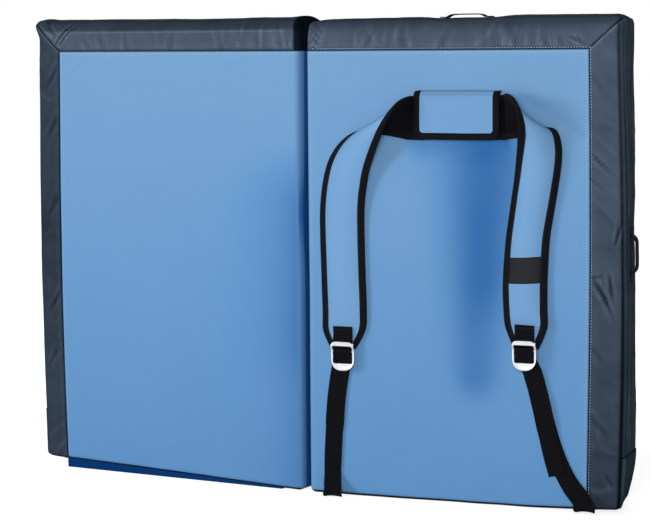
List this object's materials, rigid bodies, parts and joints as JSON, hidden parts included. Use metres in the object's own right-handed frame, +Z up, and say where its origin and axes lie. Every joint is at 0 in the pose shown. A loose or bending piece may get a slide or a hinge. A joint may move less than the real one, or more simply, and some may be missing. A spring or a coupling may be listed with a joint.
{
  "type": "bouldering crash pad",
  "caption": "Hinge-fold bouldering crash pad, stood open on its long edge: two foam halves joined at a fold, with padded shoulder straps, ladder buckles and grab handles.",
  "frame": {"origin": "centre of the open pad's box, on the floor it stands on", "axes": "+X across both halves from the plain half to the strap half, +Y from the carry side to the landing side, +Z up"},
  "size_m": [1.3816, 0.2206, 1.0113],
  "materials": {
    "blue_canvas": "woven blue polyester, matt",
    "deep_blue_canvas": "blue polyester in shade, matt",
    "charcoal_canvas": "coated charcoal polyester, soft sheen",
    "black_canvas": "black polyester, matt",
    "rubbed_patch": "coated black patch, low sheen",
    "binding_tape": "black grosgrain tape",
    "webbing": "black polyester webbing",
    "spacer_mesh": "black spacer mesh, matt",
    "closed_cell_foam": "closed-cell foam, matt",
    "open_cell_foam": "open-cell foam, matt",
    "aluminium": "tumbled, satin"
  },
  "bodies": {
    "strap_half": {"strap_half_carry_panel": "blue_canvas", "strap_half_landing_cover": "charcoal_canvas", "strap_half_closure_flap": "black_canvas", "strap_half_corner_patch": "rubbed_patch", "strap_half_landing_foam": "closed_cell_foam", "strap_half_core_foam": "open_cell_foam", "strap_half_base_foam": "closed_cell_foam", "strap_half_hook_tape": "black_canvas", "strap_half_loop_tape": "black_canvas", "hinge_strip": "black_canvas", "top_grab_handle": "webbing", "side_grab_handle": "webbing", "left_strap_face": "blue_canvas", "left_strap_foam": "open_cell_foam", "left_strap_lining": "spacer_mesh", "left_strap_binding": "binding_tape", "left_strap_tab": "webbing", "left_lower_webbing": "webbing", "right_strap_face": "blue_canvas", "right_strap_foam": "open_cell_foam", "right_strap_lining": "spacer_mesh", "right_strap_binding": "binding_tape", "right_strap_tab": "webbing", "right_lower_webbing": "webbing", "right_strap_label_band": "binding_tape"},
    "plain_half": {"plain_half_carry_panel": "blue_canvas", "plain_half_landing_cover": "charcoal_canvas", "plain_half_closure_flap": "black_canvas", "plain_half_corner_patch": "rubbed_patch", "plain_half_landing_foam": "closed_cell_foam", "plain_half_core_foam": "open_cell_foam", "plain_half_base_foam": "closed_cell_foam", "plain_half_hook_tape": "black_canvas", "plain_half_loop_tape": "black_canvas", "plain_half_tucked_flap": "deep_blue_canvas"},
    "yoke_flap_body": {"yoke_flap": "blue_canvas", "yoke_flap_padding": "spacer_mesh", "yoke_flap_binding": "binding_tape"},
    "left_buckle_body": {"left_buckle": "aluminium"},
    "right_buckle_body": {"right_buckle": "aluminium"}
  },
  "joints": [
    {"name": "fold", "type": "hinge", "parent": "strap_half", "child": "plain_half", "pos_m": [-0.0034, 0.0757, 0], "axis": [0, 0, -1], "range_deg": [-6.9, 173], "deforming": ["hinge_strip"]},
    {"name": "yoke_flap_lift", "type": "hinge", "parent": "strap_half", "child": "yoke_flap_body", "pos_m": [0.3438, -0.0378, 0.857], "axis": [-0.9982, -0.0607, 0], "range_deg": [0, 100]},
    {"name": "left_buckle_tilt", "type": "hinge", "parent": "strap_half", "child": "left_buckle_body", "pos_m": [0.0919, -0.0631, 0.3255], "axis": [-0.9982, -0.0607, 0], "range_deg": [0, 35], "deforming": ["left_strap_tab", "left_lower_webbing"]},
    {"name": "right_buckle_tilt", "type": "hinge", "parent": "strap_half", "child": "right_buckle_body", "pos_m": [0.4889, -0.044, 0.3455], "axis": [-0.9969, 0.0788, 0], "range_deg": [0, 35], "deforming": ["right_strap_tab", "right_lower_webbing"]}
  ]
}
